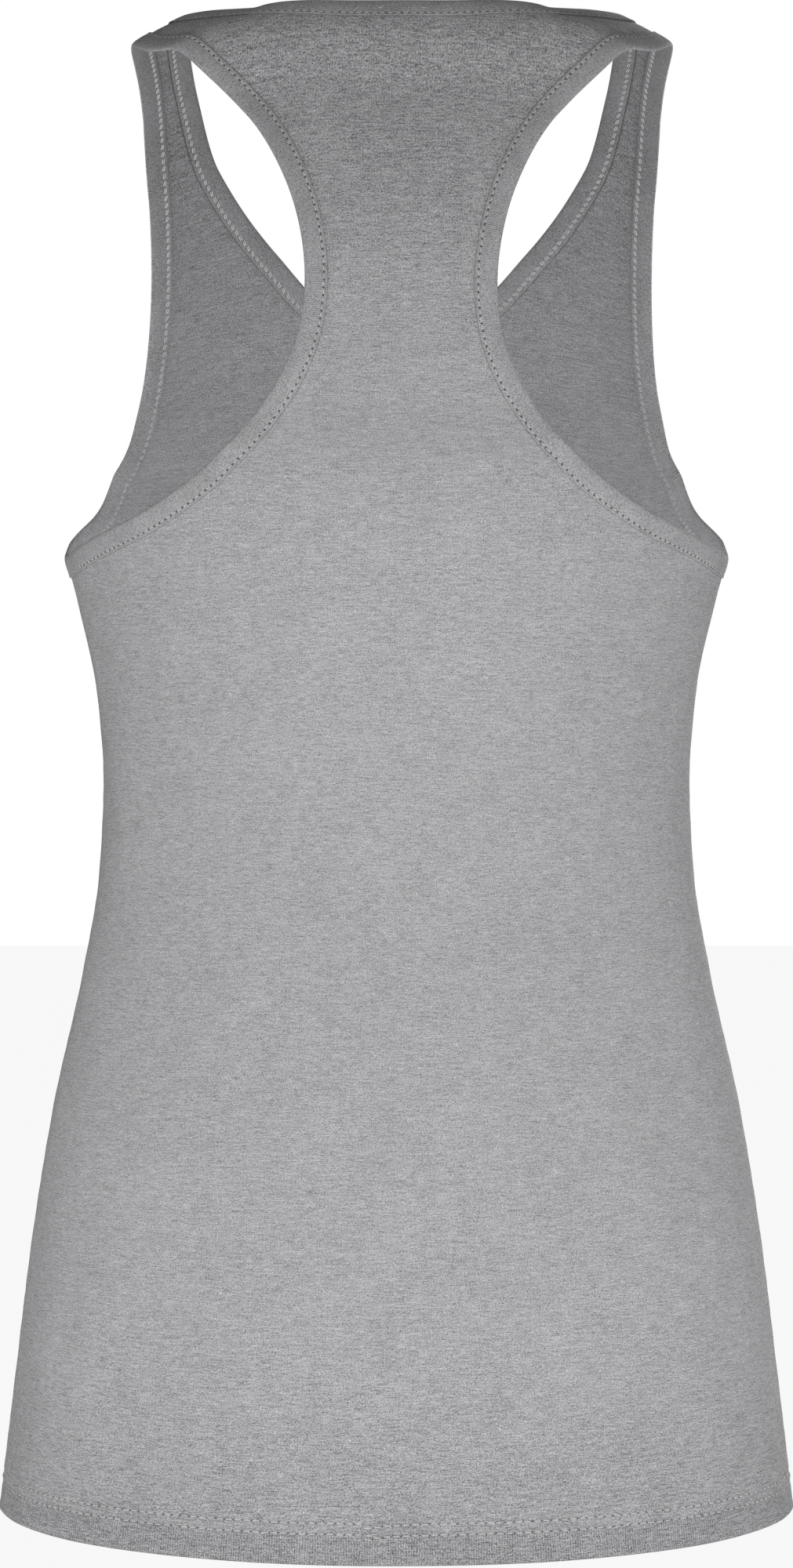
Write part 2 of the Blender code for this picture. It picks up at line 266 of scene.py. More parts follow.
def wave(turns, ups, seed):
    t, u = turns * body["turnWidth"], ups
    return (
        0.35 * np.sin(t / 31 + seed) * np.sin(u / 57 + 1.3 * seed)
        + 0.22 * np.sin(t / 19 + 0.02 * u + 2.2 * seed)
        + 0.12 * np.sin(t / 11 - u / 23 + 0.7 * seed)
    )


def relief(side, turns, ups):
    turns, ups = np.asarray(turns, float), np.asarray(ups, float)
    beside = (90 - np.abs(turns)) * body["turnWidth"]
    calm = smoothStep(beside / 14)                                   # both panels agree at the side seam
    soft = creaseRelief(side, turns, ups) + 0.6 * wave(turns, ups, 1.0 if side == "back" else 4.0)
    return soft * calm + hemRelief(side, turns, ups) + sideSeamRelief(turns, ups)


# a place on the outer face of the cloth, or out millimetres off it
def clothPoint(side, turns, ups, out=0.0):
    lift = relief(side, turns, ups) + out
    return formPoint(side, turns, ups) + formNormal(side, turns, ups) * lift[:, None]


# seam lines as smooth curves


def smoothCurve(rows, before, after, fine=40):
    knots = [np.array(row, float) for row in (before, *rows, after)]
    flat = np.array([body["turnWidth"], 1.0])
    gaps = [np.linalg.norm((b - a) * flat) for a, b in zip(knots, knots[1:])]
    out = []
    for i in range(1, len(knots) - 2):
        g0, g1, g2 = gaps[i - 1 : i + 2]
        secants = [(knots[i + k] - knots[i + k - 1]) / gap for k, gap in enumerate((g0, g1, g2))]
        leave = (secants[0] * g1 + secants[1] * g0) / (g0 + g1)
        arrive = (secants[1] * g2 + secants[2] * g1) / (g1 + g2)
        for t in np.arange(fine) / fine:
            near = (1 + 2 * t) * (1 - t) ** 2 * knots[i] + t * (1 - t) ** 2 * g1 * leave
            far = t * t * (3 - 2 * t) * knots[i + 1] + t * t * (t - 1) * g1 * arrive
            out.append(near + far)
    out.append(knots[-2])
    return np.array(out)


def evenly(side, places, step):
    points = formPoint(side, places[:, 0], places[:, 1])
    along = np.concatenate([[0], np.cumsum(np.linalg.norm(np.diff(points, axis=0), axis=1))])
    marks = np.linspace(0, along[-1], max(2, round(along[-1] / step) + 1))
    return np.stack([np.interp(marks, along, places[:, 0]), np.interp(marks, along, places[:, 1])], -1)


# places along a seam line, up to the shoulder seam, on the right half
def seamLine(side, kind, step):
    other = "front" if side == "back" else "back"
    rows, beyond = seamLines[f"{side} {kind}"], seamLines[f"{other} {kind}"]
    after = (beyond[-2][0], 2 * body["crestUp"] - beyond[-2][1])
    before = (180 - beyond[1][0], beyond[1][1]) if kind == "armhole" else (-rows[1][0], rows[1][1])
    return evenly(side, smoothCurve(rows, before, after), step)


# small mesh helpers


def newPiece(name, vertices, faces, materials, faceSlots=None, uvs=None):
    mesh = bpy.data.meshes.new(name)
    mesh.from_pydata([tuple(v) for v in np.asarray(vertices) * mm], [], [tuple(map(int, f)) for f in faces])
    for material in materials:
        mesh.materials.append(material)
    if faceSlots is not None:
        mesh.polygons.foreach_set("material_index", np.asarray(faceSlots, dtype=np.int32))
    if uvs is not None:
        layer = mesh.uv_layers.new(name="cloth")
        corners = np.empty(len(mesh.loops), dtype=np.int32)
        mesh.loops.foreach_get("vertex_index", corners)
        layer.data.foreach_set("uv", (np.asarray(uvs)[corners] * mm).astype(np.float32).ravel())
    mesh.shade_smooth()
    piece = bpy.data.objects.new(name, mesh)
    bpy.context.scene.collection.objects.link(piece)
    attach(piece, "root")
    return piece


def applyModifiers(piece):
    graph = bpy.context.evaluated_depsgraph_get()
    made = bpy.data.meshes.new_from_object(piece.evaluated_get(graph), depsgraph=graph)
    piece.modifiers.clear()
    old = piece.data
    piece.data = made
    bpy.data.meshes.remove(old)


def clothArea(piece):
    return sum(face.area for face in piece.data.polygons)


# the binding strip: ribbed, folded round each raw edge

foldedStrip = (             # across towards the opening, out of the cloth: once round the fold
    (0.0, 0.12), (0.12, 0.50), (0.7, 0.78), (1.2, 0.62), (1.7, 0.46), (2.3, 0.64), (3.2, 0.78), (5.2, 0.80),
    (7.4, 0.72), (8.8, 0.46), (9.7, 0.0), (10.0, -0.5), (9.75, -1.05), (8.8, -1.5), (7.4, -1.8), (5.2, -1.9),
    (3.2, -1.88), (2.3, -1.75), (1.7, -1.58), (1.2, -1.75), (0.6, -1.86), (-0.6, -1.78), (-0.9, -1.4),
    (-0.7, -0.98), (0.3, -0.92), (6.0, -0.92), (6.3, -0.42), (6.0, 0.06), (0.3, 0.06),
)
insideFrom, insideTo = 12, 24
stripSteps = np.linalg.norm(np.diff(np.array(foldedStrip + foldedStrip[:1]), axis=0), axis=1)
stripAlong = np.concatenate([[0], np.cumsum(stripSteps)])
outsideRow, insideRow = stripAlong[4], stripAlong[18]       # where the stitches go through

seamStitch = {
    "pitch": 3.4,
    "dash": 2.3,
    "radius": 0.26,
    "across": 1.7,          # from the seam
    "out": 0.48,
    "insideOut": -1.60,
    "lively": 0.12,         # how far a stitch may stray from its row
}


# materials


# one shader socket, with + - * / between sockets and numbers
class Sum:
    def __init__(self, tree, socket):
        self.tree, self.socket = tree, socket

    def node(self, kind, settings=None, inputs=None, output=0):
        made = self.tree.nodes.new(kind)
        for name, value in (settings or {}).items():
            setattr(made, name, value)
        for name, value in (inputs or {}).items():
            socket = made.inputs[name]
            if isinstance(value, Sum):
                self.tree.links.new(value.socket, socket)
            else:
                socket.default_value = value
        return Sum(self.tree, made.outputs[output])

    def maths(self, operation, other=None, swap=False):
        values = [self, other] if not swap else [other, self]
        inputs = {i: v for i, v in enumerate(values) if v is not None}
        return self.node("ShaderNodeMath", {"operation": operation}, inputs)

    def __add__(self, other):
        return self.maths("ADD", other)

    def __radd__(self, other):
        return self.maths("ADD", other, swap=True)

    def __sub__(self, other):
        return self.maths("SUBTRACT", other)

    def __rsub__(self, other):
        return self.maths("SUBTRACT", other, swap=True)

    def __mul__(self, other):
        return self.maths("MULTIPLY", other)

    def __rmul__(self, other):
        return self.maths("MULTIPLY", other, swap=True)

    def __truediv__(self, other):
        return self.maths("DIVIDE", other)

    def __rtruediv__(self, other):
        return self.maths("DIVIDE", other, swap=True)

    def __neg__(self):
        return self.maths("MULTIPLY", -1.0)

    def between(self, low, high, toLow=0.0, toHigh=1.0, smooth=False):
        settings = {"interpolation_type": "SMOOTHSTEP" if smooth else "LINEAR"}
        inputs = {"Value": self, "From Min": low, "From Max": high, "To Min": toLow, "To Max": toHigh}
        return self.node("ShaderNodeMapRange", settings, inputs)

    # the colour low where this is 0 and high where it is 1
    def mixed(self, low, high):
        inputs = {"Factor": self, 6: colour(low), 7: colour(high)}
        return self.node("ShaderNodeMix", {"data_type": "RGBA"}, inputs, output=2)

    def scaled(self, x, y, z=1.0, shift=(0.0, 0.0, 0.0)):
        return self.node("ShaderNodeMapping", None, {"Vector": self, "Scale": (x, y, z), "Location": shift})

    # smooth noise from 0 to 1 about 0.5, with lumps about size apart
    def noise(self, size=1.0, detail=2.0, rough=0.5):
        inputs = {
            "Vector": self,
            "Scale": 1.0 / size,
            "Detail": detail,
            "Roughness": rough,
        }
        return self.node("ShaderNodeTexNoise", {"noise_dimensions": "3D"}, inputs)

    def bump(self, strength, distance=0.001):
        return self.node("ShaderNodeBump", None, {"Height": self, "Strength": strength, "Distance": distance})


def colour(value):
    if isinstance(value, Sum):
        return value
    if isinstance(value, (int, float)):
        return (value, value, value, 1.0)
    return (*value, 1.0)


def newMaterial(name):
    material = bpy.data.materials.new(name)
    material.use_nodes = True
    tree = material.node_tree
    shader = next(node for node in tree.nodes if node.type == "BSDF_PRINCIPLED")
    return material, tree, shader


def uvOf(tree):
    made = tree.nodes.new("ShaderNodeUVMap")
    made.uv_map = "cloth"
    return Sum(tree, made.outputs[0])


def objectPlace(tree):
    return Sum(tree, tree.nodes.new("ShaderNodeTexCoord").outputs["Object"])


def plug(tree, shader, **inputs):
    for name, value in inputs.items():
        name = name.replace("_", " ")
        if isinstance(value, Sum):
            tree.links.new(value.socket, shader.inputs[name])
        else:
            shader.inputs[name].default_value = value


# a grey tone as a colour, with a share of it in each channel
def tintedBy(tone, tint=(1.0, 1.0, 1.0)):
    made = tone.tree.nodes.new("ShaderNodeCombineColor")
    for i, share in enumerate(tint):
        tone.tree.links.new((tone * share).socket, made.inputs[i])
    return Sum(tone.tree, made.outputs[0])


yarn = {
    "grey": 0.385,
    "tint": (1.0, 0.985, 1.015),
    # painted shade: the wrong side drawn darker than the face, for the shadow in the hollow
    "wrongSidePaintedShade": 0.78,
    "insideTopPaintedShade": 0.62,      # painted shade: how dark the wrong side is drawn up in the straps
    "streakLong": 4.2 * mm,
    "streakTall": 0.46 * mm,
    "streakDepth": 0.80,
    "fleckSize": 0.50 * mm,
    "fleckDepth": 1.50,
    "patchSize": 36 * mm,
    "patchDepth": 0.12,
    "longStreakDepth": 0.48,
    "fineDepth": 1.30,
    "driftDepth": 0.15,
    "darkSpeck": 0.42,
    "lightSpeck": 0.26,
    "contrast": 1.18,
    "topContrast": 0.34,    # added towards the shoulders
    "hemContrast": 0.25,    # added towards the hem
    "darkest": 0.25,
    "wale": 0.98 * mm,      # from one knitted column to the next
    "course": 0.72 * mm,
    "roughness": 0.92,
    "sheen": 0.12,
}


# painted shade: the wrong side drawn darker towards the shoulders, where the straps lie in shadow
def paintedInsideShade(tree):
    place = objectPlace(tree)
    up = place.node("ShaderNodeSeparateXYZ", None, {0: place}, output=2)
    return up.between(-0.20, -0.03, 1.0, yarn["insideTopPaintedShade"], smooth=True)


# heather jersey: streaks and flecks of dark and light yarn along the rows
def knit(name, shade=1.0, hemBand=False, inside=False):
    material, tree, shader = newMaterial(name)
    uv = uvOf(tree)
    drift = uv.scaled(1, 1).noise(9 * mm, 2.0) - 0.5
    streak = uv.scaled(yarn["streakTall"] / yarn["streakLong"], 1.0).noise(yarn["streakTall"], 1.5, 0.55)
    longStreak = uv.scaled(0.09, 1.0, shift=(3, 1, 2)).noise(0.95 * mm, 2.0, 0.6)
    fleck = uv.scaled(0.8, 1.0, shift=(5, 2, 4)).noise(yarn["fleckSize"], 2.0, 0.65)
    fine = uv.scaled(1.0, 1.0, shift=(1, 7, 3)).noise(0.34 * mm, 1.0)
    patch = uv.scaled(1.0, 1.0, shift=(7, 3, 9)).noise(yarn["patchSize"], 3.0, 0.55) - 0.5
    specks = fleck.between(0.36, 0.26)                     # dark specks where the fleck noise dips
    light = fleck.between(0.66, 0.78)
    x, y = split(uv)
    top = y.between(0.47, 0.60, 0.0, yarn["topContrast"])
    low = y.between(0.10, 0.01, 0.0, yarn["hemContrast"])
    contrast = yarn["contrast"] + top + low
    grain = (
        (streak - 0.5) * yarn["streakDepth"]
        + (longStreak - 0.5) * yarn["longStreakDepth"]
        + (fleck - 0.5) * yarn["fleckDepth"]
        + (fine - 0.5) * yarn["fineDepth"]
        + patch * yarn["patchDepth"]
        + drift * yarn["driftDepth"]
        - specks * yarn["darkSpeck"]
        + light * yarn["lightSpeck"]
    )
    tone = grain * contrast + 1.0
    wale = (x * (2 * math.pi / yarn["wale"])).maths("SINE")
    course = (y * (2 * math.pi / yarn["course"]) + drift * 9.0).maths("SINE")
    tone = tone + wale * 0.018
    if hemBand:
        tone = hemTone(tone, x, y, uv)
    # painted shade on the wrong side, darker towards the shoulders
    if inside:
        tone = tone * paintedInsideShade(tree)
    tone = tone.maths("MAXIMUM", yarn["darkest"]) * (yarn["grey"] * shade)
    tinted = tintedBy(tone, yarn["tint"])
    height = wale * 0.25 + course * 0.18 + streak * 1.1 + fleck * 1.2 + fine * 0.7
    if hemBand:
        height = height + hemPucker(x, y)
    plug(tree, shader, Base_Color=tinted, Roughness=yarn["roughness"])
    plug(tree, shader, Normal=height.bump(0.55, 0.16 * mm))
    plug(tree, shader, Sheen_Weight=yarn["sheen"], Sheen_Roughness=0.6, Specular_IOR_Level=0.18)
    return material


def split(vector):
    made = vector.tree.nodes.new("ShaderNodeSeparateXYZ")
    vector.tree.links.new(vector.socket, made.inputs[0])
    return Sum(vector.tree, made.outputs[0]), Sum(vector.tree, made.outputs[1])


# the doubled band under the stitches is drawn a little darker and shows its knitted columns; painted shade
# darkens the cloth towards the hem
def hemTone(tone, x, y, uv):
    within = (y / mm).between(11.2, 10.2)
    band = ((x + (uv.noise(6 * mm) - 0.5) * (1.2 * mm)) * (2 * math.pi / yarn["wale"])).maths("SINE")
    lower = (y / mm).between(80, 15, smooth=True)
    # painted shade: darker towards the hem; the band below the stitches darker still
    shaded = tone - lower * hem["lowerPaintedShade"] - within * hem["bandShade"]
    shaded = shaded + within * band * hem["bandColumns"]
    # painted shade: the needle holes drawn darker
    return shaded * (1.0 - hemHoles(x, y) * hem["holePaintedShade"])


# 1 at the needle holes of a row of stitches
def holes(x, y, pitch, row, size):
    along = ((x / (pitch * mm) + 0.5).maths("FRACT") - 0.5) * pitch
    across = y / mm - row
    return (along * along + across * across).between((size * 1.25) ** 2, (size * 0.55) ** 2)


def hemHoles(x, y):
    past = (x / mm - hem["joinAt"]) / hem["joinFade"]
    y = y + (-past).maths("EXPONENT") * past.maths("GREATER_THAN", 0.0) * (hem["joinStep"] * mm)
    start = x + (hemPitch * mm * (hemCount / 2 % 1))
    fold = hem["foldRadius"]
    made = [holes(start, y, hemPitch, row - fold, 0.36) for row in hem["rows"]]
    return made[0] + made[1]


# small dimples between the stitches
def hemPucker(x, y):
    rows = [(y / mm - row + hem["foldRadius"]).maths("ABSOLUTE").between(2.6, 0.2) for row in hem["rows"]]
    beat = ((x / (hemPitch * mm) + hemCount / 2 % 1) * (2 * math.pi)).maths("COSINE")
    return (rows[0] + rows[1]) * beat * -1.2 - hemHoles(x, y) * 3.0


ribYarn = {
    "fleckDepth": 2.30,
    "alongDepth": 0.80,
    "patchDepth": 0.30,
    "darkSpeck": 0.38,
    "ribDepth": 0.13,
    "innerGroovePaintedShade": 0.62,    # painted shade: the dark line beside the inner turned edge
}


# binding: fine ribs across the strip; hole and groove set the painted shade in its needle holes and seam
# groove
def ribKnit(name, shade=1.0, hole=0.80, groove=0.45, inside=False):
    material, tree, shader = newMaterial(name)
    uv = uvOf(tree)
    x, y = split(uv)
    drift = uv.noise(5 * mm, 2.0) - 0.5
    fleck = uv.scaled(1.0, 0.55, shift=(5, 2, 4)).noise(0.42 * mm, 2.0, 0.65)
    along = uv.scaled(1.0, 0.16, shift=(2, 5, 1)).noise(0.5 * mm, 1.5, 0.6)
    patch = uv.scaled(1.0, 1.0, shift=(7, 3, 9)).noise(22 * mm, 2.0) - 0.5
    rib = ((x + drift * (0.35 * mm)) * (2 * math.pi / binding["rib"] / mm)).maths("SINE")
    depth = uv.scaled(1.0, 1.0, shift=(9, 9, 2)).noise(11 * mm, 1.0).between(0.35, 0.65)
    specks = fleck.between(0.37, 0.27)
    tone = (
        1.0
        + (fleck - 0.5) * ribYarn["fleckDepth"]
        + (along - 0.5) * ribYarn["alongDepth"]
        + patch * ribYarn["patchDepth"]
        - specks * ribYarn["darkSpeck"]
        + rib * depth * ribYarn["ribDepth"]
    )
    pitch = seamStitch["pitch"]
    # painted shade: the needle holes drawn darker, by hole
    made = holes(x, y, pitch, outsideRow, 0.48) + holes(x, y, pitch, insideRow, 0.5)
    # painted shade: dark lines at the seam groove at both ends of the strip, by groove, and beside the inner
    # turned edge
    seam = (y / mm).between(0.75, 0.1) + (y / mm - stripAlong[-1]).between(-0.5, -0.1)
    inner = (y / mm - stripAlong[22]).maths("ABSOLUTE").between(0.55, 0.25)
    # painted shade on the wrong side, darker towards the shoulders
    if inside:
        tone = tone * paintedInsideShade(tree)
    tone = tone * (1.0 - made * hole) * (1.0 - seam * groove) * (1.0 - inner * ribYarn["innerGroovePaintedShade"])
    tone = tone.maths("MAXIMUM", yarn["darkest"]) * (yarn["grey"] * shade)
    tinted = tintedBy(tone, yarn["tint"])
    height = rib * depth * 0.8 + fleck * 1.1 + along * 0.6 - made * 3.0
    plug(tree, shader, Base_Color=tinted, Roughness=yarn["roughness"])
    plug(tree, shader, Normal=height.bump(0.6, 0.18 * mm))
    plug(tree, shader, Sheen_Weight=yarn["sheen"], Sheen_Roughness=0.6, Specular_IOR_Level=0.18)
    return material


def threadMaterial(name, grey):
    material, tree, shader = newMaterial(name)
    place = objectPlace(tree)
    tone = ((place.noise(0.6 * mm, 1.0) - 0.5) * 0.5 + 1.0) * grey
    tinted = tintedBy(tone)
    plug(tree, shader, Base_Color=tinted, Roughness=0.62, Sheen_Weight=0.1)
    return material


# the panels

panel = {
    "columns": 3.0,         # millimetres between grid columns
    "rows": 4.0,
    "thick": 0.8,
    "gridTop": -250.0,      # the plain grid ends here, just under the armholes
    "seamStep": 2.4,
    "tuck": 3.2,            # how far the cloth goes on inside its binding
}

hemStitch = {
    "pitch": 4.0,
    "dash": 2.7,
    "radius": 0.24,
    "bow": 0.10,
}

binding = {
    "rib": 0.86,            # from one rib to the next
    "step": 1.1,
}

hemCount = round(468.0 / hemStitch["pitch"])     # along about 468 mm of hem on each side
hemPitch = 180 * body["turnWidth"] / hemCount    # in nominal millimetres


# points, normals and directions into the opening, along a seam line
def edgeFrames(side, line, towardsHole):
    points = clothPoint(side, line[:, 0], line[:, 1])
    normals = formNormal(side, line[:, 0], line[:, 1])
    along = unit(np.gradient(points, axis=0))
    return points, normals, unit(np.cross(along, normals)) * towardsHole


# heights above the fold, closer together at the stitches
def gridHeights():
    close = [0.0, 0.9, 2.0, 3.4, 5.0, 6.8, 8.6, 9.9, 10.6, 11.2, 11.8, 12.4]
    close += [13.0, 13.7, 14.4, 15.0, 15.5, 16.0, 16.5, 17.1, 18.0, 19.4, 21.2, 23.6]
    low, top = body["hemUp"] + hem["foldRadius"], panel["gridTop"]
    rest = np.linspace(low + 23.6, top, round((top - low - 23.6) / panel["rows"]) + 1)[1:]
    return np.concatenate([low + np.array(close), rest])


# rows of points round the fold and up again inside, from the fold's start, with their flat distances
def hemFold(side, turns):
    radius, rows = hem["foldRadius"], []
    for k in range(1, 7):
        a = math.pi * k / 6
        up = body["hemUp"] + radius - radius * math.sin(a)
        rows.append((up, -radius + radius * math.cos(a), -radius * a))
    inner = [1.5, 3.4, 5.4, 7.4, 9.4, 10.4, 11.2, 11.8, 12.4, 13.2, 14.2, 15.2, 16.0, 16.8, 17.6, 18.5]
    rows += [(body["hemUp"] + radius + v, -2 * radius, -math.pi * radius - v) for v in inner]
    points = [clothPoint(side, turns, np.full(len(turns), up), out) for up, out, _ in rows]
    return points, [flat for _, _, flat in rows]


def insideOutline(outline, places):
    x, y = places[:, 0], places[:, 1]
    inside = np.zeros(len(places), bool)
    for (x0, y0), (x1, y1) in zip(outline, np.roll(outline, -1, axis=0)):
        if y0 == y1:
            continue
        crosses = (y0 > y) != (y1 > y)
        inside ^= crosses & (x < (x1 - x0) * (y - y0) / (y1 - y0) + x0)
    return inside


def nearestDistance(places, outline):
    best = np.full(len(places), 1e9)
    for start in range(0, len(outline), 64):
        part = outline[start : start + 64]
        gaps = np.linalg.norm(places[:, None, :] - part[None, :, :], axis=2)
        best = np.minimum(best, gaps.min(axis=1))
    return best


def buildPanel(side, name, materials):
    width = body["turnWidth"]
    columns = round(180 * width / panel["columns"])
    turns = np.linspace(-90, 90, columns + 1)
    heights = gridHeights()
    foldPoints, foldFlat = hemFold(side, turns)
    vertices, uvs, faces = [], [], []
    uvStart = 0.0 if side == "back" else 250 * hemPitch
    rowX = hemArc(side, turns)

    def addRow(points, flatY):
        first = len(vertices)
        vertices.extend(points)
        uvs.extend([(x + uvStart, flatY) for x in rowX])
        return first

    rowStarts = [addRow(p, flat) for p, flat in zip(reversed(foldPoints), reversed(foldFlat))]
    low = heights[0]
    for up in heights:
        rowStarts.append(addRow(clothPoint(side, turns, np.full(len(turns), up)), up - low))
    for below, above in zip(rowStarts, rowStarts[1:]):
        for c in range(columns):
            quad = (below + c, below + c + 1, above + c + 1, above + c)
            faces.append(quad if side == "back" else quad[::-1])

    # above the grid: everything inside the armholes, shoulders and neck
    arm = seamLine(side, "armhole", panel["seamStep"])
    neck = seamLine(side, "neck", panel["seamStep"])
    top, underarm = heights[-1], arm[0][1]
    sideSteps = np.linspace(top, underarm, 3)[1:-1]
    crest = np.linspace(arm[-1][0], neck[-1][0], 4)[1:-1]
    right = [(90.0, up) for up in sideSteps]
    right += [tuple(p) for p in arm]
    right += [(turn, body["crestUp"]) for turn in crest]
    right += [tuple(p) for p in neck[::-1]]
    left = [(-turn, up) for turn, up in right[::-1]][1:]
    outline = np.array([(turn, top) for turn in turns] + right + left)
    flat = outline * np.array([width, 1.0])
    rows = np.arange(top + panel["rows"], body["crestUp"], panel["rows"] * 0.85)
    halfColumn = 0.5 * panel["columns"]
    inner = [(turn * width + halfColumn * (i % 2), up) for i, up in enumerate(rows) for turn in turns]
    inner = np.array(inner)
    inner = inner[insideOutline(flat, inner)]
    inner = inner[nearestDistance(inner, flat) > 2.1]
    allFlat = np.concatenate([flat, inner])
    edges = [(i, (i + 1) % len(flat)) for i in range(len(flat))]
    made = delaunay_2d_cdt([Vector(p) for p in allFlat], edges, [], 1, 1e-6)
    places = np.array([tuple(v) for v in made[0]])
    sources = made[3]
    index = {}
    gridTop = rowStarts[-1]
    newPlaces = []
    for i, source in enumerate(sources):
        if source and min(source) < len(turns):
            index[i] = gridTop + min(source)
        else:
            index[i] = len(vertices) + len(newPlaces)
            newPlaces.append(i)
    spots = places[newPlaces] / np.array([width, 1.0])
    vertices.extend(clothPoint(side, spots[:, 0], spots[:, 1]))
    uvs.extend(np.stack([hemArc(side, spots[:, 0]) + uvStart, spots[:, 1] - low], -1))
    for face in made[2]:
        corners = [index[i] for i in face]
        if len(set(corners)) > 2:
            faces.append(tuple(corners) if side == "back" else tuple(corners[::-1]))

    # the raw edges go on inside the bindings
    backwards = {}
    for i, source in enumerate(sources):
        for s in source:
            if s < len(flat):
                backwards[s] = index[i]
    offset = len(turns) + len(sideSteps)
    armIndex = [backwards[offset + k] for k in range(len(arm))]
    neckFirst = offset + len(arm) + len(crest)
    neckIndex = [backwards[neckFirst + k] for k in range(len(neck))]
    total = len(right)
    start = len(turns)
    mirrored = {k: start + total + (total - 2 - (k - start)) for k in range(start, start + total - 1)}
    armLeft = [backwards[mirrored[offset + k]] for k in range(len(arm))]
    neckLine = neck[::-1]
    neckLeft = [backwards[mirrored[neckFirst + k]] for k in range(len(neck) - 1)] + [neckIndex[-1]]
    for line, indices, mirror, hand in (
        (arm, armIndex, 1, 1),
        (arm, armLeft, -1, -1),
        (neckLine, neckIndex, 1, 1),
        (neckLine, neckLeft, -1, -1),
    ):
        edge = line * np.array([mirror, 1.0])
        towards = hand * (1 if side == "back" else -1)
        points, normals, into = edgeFrames(side, edge, towards)
        first = len(vertices)
        vertices.extend(points + into * panel["tuck"] - normals * 0.02)
        uvs.extend([(uvs[k][0], uvs[k][1] + panel["tuck"]) for k in indices])
        for k in range(len(indices) - 1):
            quad = (indices[k], indices[k + 1], first + k + 1, first + k)
            faces.append(quad if towards > 0 else quad[::-1])

    piece = newPiece(name, vertices, faces, materials, uvs=uvs)
    mesh = bmesh.new()
    mesh.from_mesh(piece.data)
    bmesh.ops.recalc_face_normals(mesh, faces=mesh.faces)
    facing = -1 if side == "back" else 1
    waist = Vector((0, 0.11 * facing, -0.35))
    probe = min(mesh.faces, key=lambda face: (face.calc_center_median() - waist).length)
    if probe.normal.y * facing < 0:
        bmesh.ops.reverse_faces(mesh, faces=mesh.faces)
    mesh.to_mesh(piece.data)
    mesh.free()
    faceArea = clothArea(piece)
    thicken = piece.modifiers.new("thickness", "SOLIDIFY")
    thicken.thickness = panel["thick"] * mm
    thicken.offset = -1
    thicken.use_even_offset = True
    thicken.material_offset = 1
    thicken.material_offset_rim = 1
    applyModifiers(piece)
    piece.data.set_sharp_from_angle(angle=math.radians(48))
    print(name, "faces", len(piece.data.polygons), "area", round(faceArea, 4))
    return piece, faceArea


# the bindings

# the folded strip along a closed ring
def sweep(name, points, normals, into, materials, uvShift):
    profile = np.array(foldedStrip)
    count, around = len(points), len(profile)
    vertices = (
        points[:, None, :]
        + into[:, None, :] * profile[None, :, :1]
        + normals[:, None, :] * profile[None, :, 1:]
    ).reshape(-1, 3)
    steps = np.linalg.norm(np.diff(np.concatenate([points, points[:1]]), axis=0), axis=1)
    along = np.concatenate([[0], np.cumsum(steps)])
    length = along[-1]
    along = along * round(length / seamStitch["pitch"]) * seamStitch["pitch"] / length    # whole stitches
    across = stripAlong
    faces, slots, cornerUvs = [], [], []
    for i in range(count):
        j = (i + 1) % count
        for k in range(around):
            m = (k + 1) % around
            faces.append((i * around + k, j * around + k, j * around + m, i * around + m))
            slots.append(1 if insideFrom <= k < insideTo else 0)
            cornerUvs += [(along[i], across[k]), (along[i + 1], across[k])]
            cornerUvs += [(along[i + 1], across[k + 1]), (along[i], across[k + 1])]
    piece = newPiece(name, vertices, faces, materials, faceSlots=slots)
    layer = piece.data.uv_layers.new(name="cloth")
    uv = (np.array(cornerUvs) + np.array([uvShift * seamStitch["pitch"], 0.0])) * mm
    layer.data.foreach_set("uv", uv.astype(np.float32).ravel())
    mesh = bmesh.new()
    mesh.from_mesh(piece.data)
    bmesh.ops.recalc_face_normals(mesh, faces=mesh.faces)
    mesh.to_mesh(piece.data)
    mesh.free()
    piece.data.set_sharp_from_angle(angle=math.radians(70))
    return piece, float(length)


def smoothRing(vectors, passes):
    for _ in range(passes):
        vectors = (np.roll(vectors, 1, axis=0) + 2 * vectors + np.roll(vectors, -1, axis=0)) / 4
    return vectors


# one closed ring of frames from lines on the two sides
def ringFrames(parts, sign, passes=6):
    points = np.concatenate([clothPoint(side, line[:, 0], line[:, 1]) for side, line in parts])
    normals = np.concatenate([formNormal(side, line[:, 0], line[:, 1]) for side, line in parts])
    normals = unit(smoothRing(normals, passes))
    along = unit(np.roll(points, -1, axis=0) - np.roll(points, 1, axis=0))
    into = unit(np.cross(along, normals)) * sign
    return points, normals, into


def armholeRing(hand):
    step = binding["step"]
    back = seamLine("back", "armhole", step) * np.array([hand, 1.0])
    front = (seamLine("front", "armhole", step) * np.array([hand, 1.0]))[::-1]
    return ringFrames([("back", back[:-1]), ("front", front[:-1])], hand)


def neckRing():
    step = binding["step"]
    flip = np.array([-1.0, 1.0])
    back, front = seamLine("back", "neck", step), seamLine("front", "neck", step)
    return ringFrames(
        [
            ("back", back[:-1]),
            ("front", front[::-1][:-1]),
            ("front", (front * flip)[:-1]),
            ("back", (back * flip)[::-1][:-1]),
        ],
        -1,
    )


# stitches


# frames at an even spacing along a closed ring
def alongRing(points, normals, into, spacing):
    closed = [np.concatenate([a, a[:1]]) for a in (points, normals, into)]
    steps = np.linalg.norm(np.diff(closed[0], axis=0), axis=1)
    along = np.concatenate([[0], np.cumsum(steps)])
    count = round(along[-1] / spacing)
    spacing = along[-1] / count

    def at(distance):
        distance = (np.asarray(distance, float)) % along[-1]
        return [np.stack([np.interp(distance, along, a[:, i]) for i in range(3)], -1) for a in closed]

    return at, count, spacing


